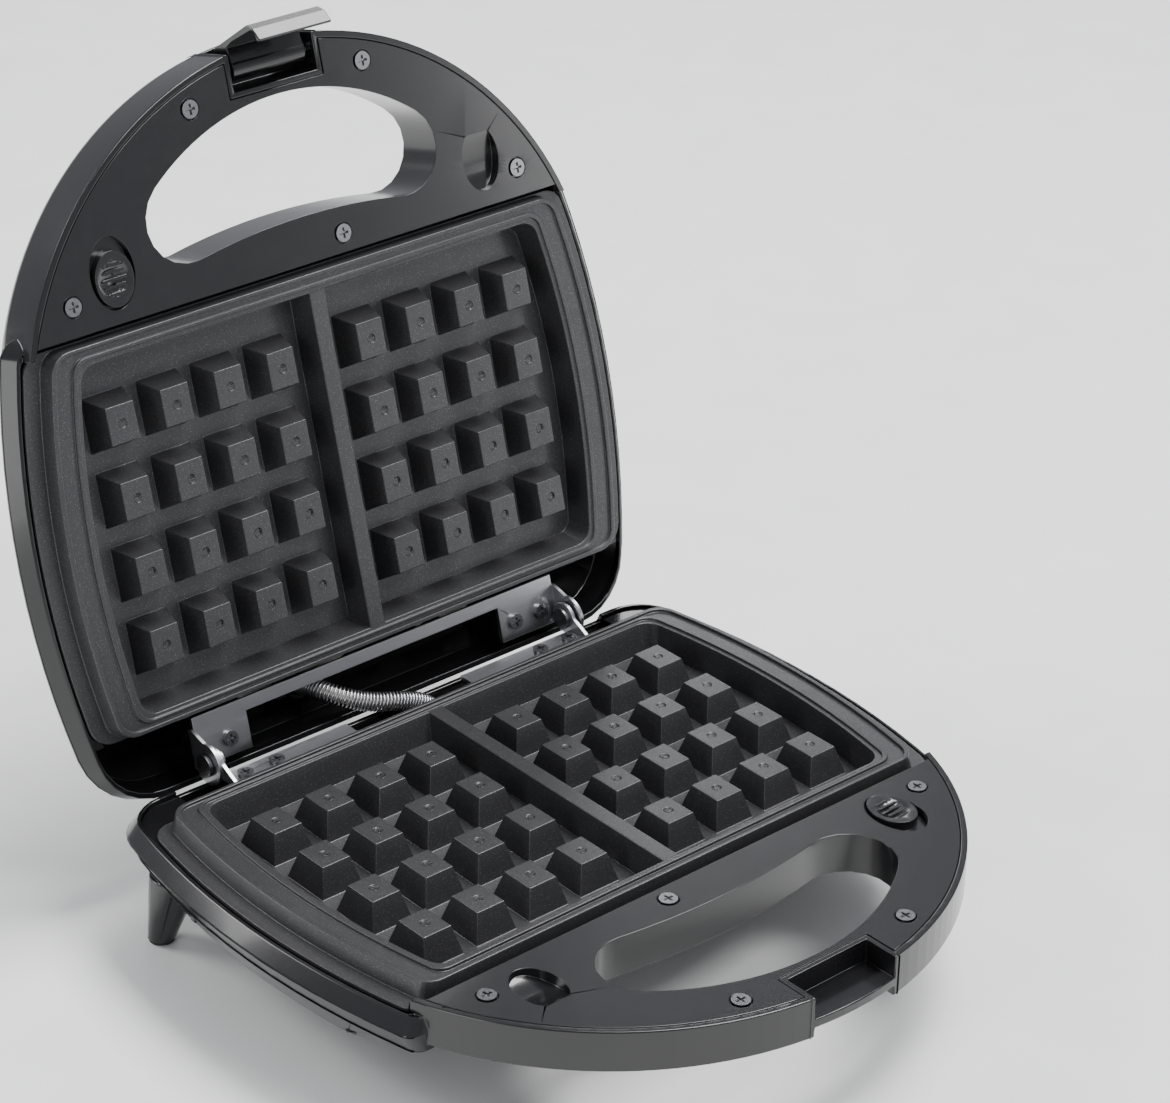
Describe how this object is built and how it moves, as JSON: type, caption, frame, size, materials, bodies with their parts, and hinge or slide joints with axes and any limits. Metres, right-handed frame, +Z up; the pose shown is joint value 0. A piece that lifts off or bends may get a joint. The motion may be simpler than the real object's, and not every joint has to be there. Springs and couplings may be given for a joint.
{
  "type": "waffle maker",
  "caption": "Waffle maker, lid open: hinged black halves with studded waffle plates, loop handles, release sliders and a snap latch.",
  "frame": {"origin": "centre of the footprint on the table, lid open at 105 degrees", "axes": "+Z up from the table, -Y towards the handle of the base, X along the hinge"},
  "size_m": [0.271, 0.3328, 0.2974],
  "materials": {
    "shell": "gloss",
    "cover": "matt",
    "deck": "gloss",
    "plate": "satin non-stick coating",
    "heater": "satin",
    "steel": "satin",
    "hardware": "zinc plated",
    "rubber": "matt",
    "ceramic": "fired ceramic",
    "sleeving": "woven glass sleeving",
    "moulding": "matt",
    "lens_red": "gloss",
    "lens_green": "gloss",
    "board": "matt"
  },
  "bodies": {
    "base": {"base_shell": "shell", "base_bottom_cover": "cover", "base_handle_deck": "deck", "base_waffle_plate": "plate", "base_heater": "heater", "base_reflector_pan": "steel", "base_heater_clips": "steel", "base_pan_screws": "hardware", "base_hinge_bar": "steel", "hinge_rivets": "hardware", "base_hinge_screws": "hardware", "base_deck_screws": "hardware", "base_bottom_screws": "hardware", "rubber_feet": "rubber", "base_thermostat": "ceramic", "thermal_fuse": "ceramic", "terminal_block": "ceramic", "base_wiring": "sleeving", "cord_inlet_bush": "rubber", "base_conduit_clamp": "moulding", "conduit_spring": "steel", "conduit_leads": "sleeving", "base_slider_spring": "steel"},
    "base_slider": {"base_release_slider": "cover"},
    "lid": {"lid_shell": "shell", "lid_handle_deck": "deck", "lid_waffle_plate": "plate", "lid_heater": "heater", "lid_reflector_pan": "steel", "lid_heater_clips": "steel", "lid_pan_screws": "hardware", "lid_hinge_bar": "steel", "lid_hinge_screws": "hardware", "lid_deck_screws": "hardware", "lid_thermostat": "ceramic", "power_lens": "lens_red", "ready_lens": "lens_green", "lamp_board": "board", "lid_wiring": "sleeving", "lid_conduit_clamp": "moulding", "lid_slider_spring": "steel", "latch_pin": "hardware"},
    "lid_slider": {"lid_release_slider": "cover"},
    "latch": {"latch": "shell"}
  },
  "joints": [
    {"name": "lid_hinge", "type": "hinge", "parent": "base", "child": "lid", "pos_m": [0, 0.07664, 0.053], "axis": [1, 0, 0], "range_deg": [0, 105], "deforming": ["conduit_spring", "conduit_leads"]},
    {"name": "latch_hinge", "type": "hinge", "parent": "lid", "child": "latch", "pos_m": [0, 0.14889, 0.27745], "axis": [-1, 0, 0], "range_deg": [-13.5, 40]},
    {"name": "base_slider_slide", "type": "slide", "parent": "base", "child": "base_slider", "axis": [0, -1, 0], "range_m": [0, 0.004], "stiffness_N_per_m": 400, "springref_m": -0.002, "deforming": ["base_slider_spring"]},
    {"name": "lid_slider_slide", "type": "slide", "parent": "lid", "child": "lid_slider", "axis": [0, 0.2588, 0.9659], "range_m": [0, 0.004], "stiffness_N_per_m": 400, "springref_m": -0.002, "deforming": ["lid_slider_spring"]}
  ]
}
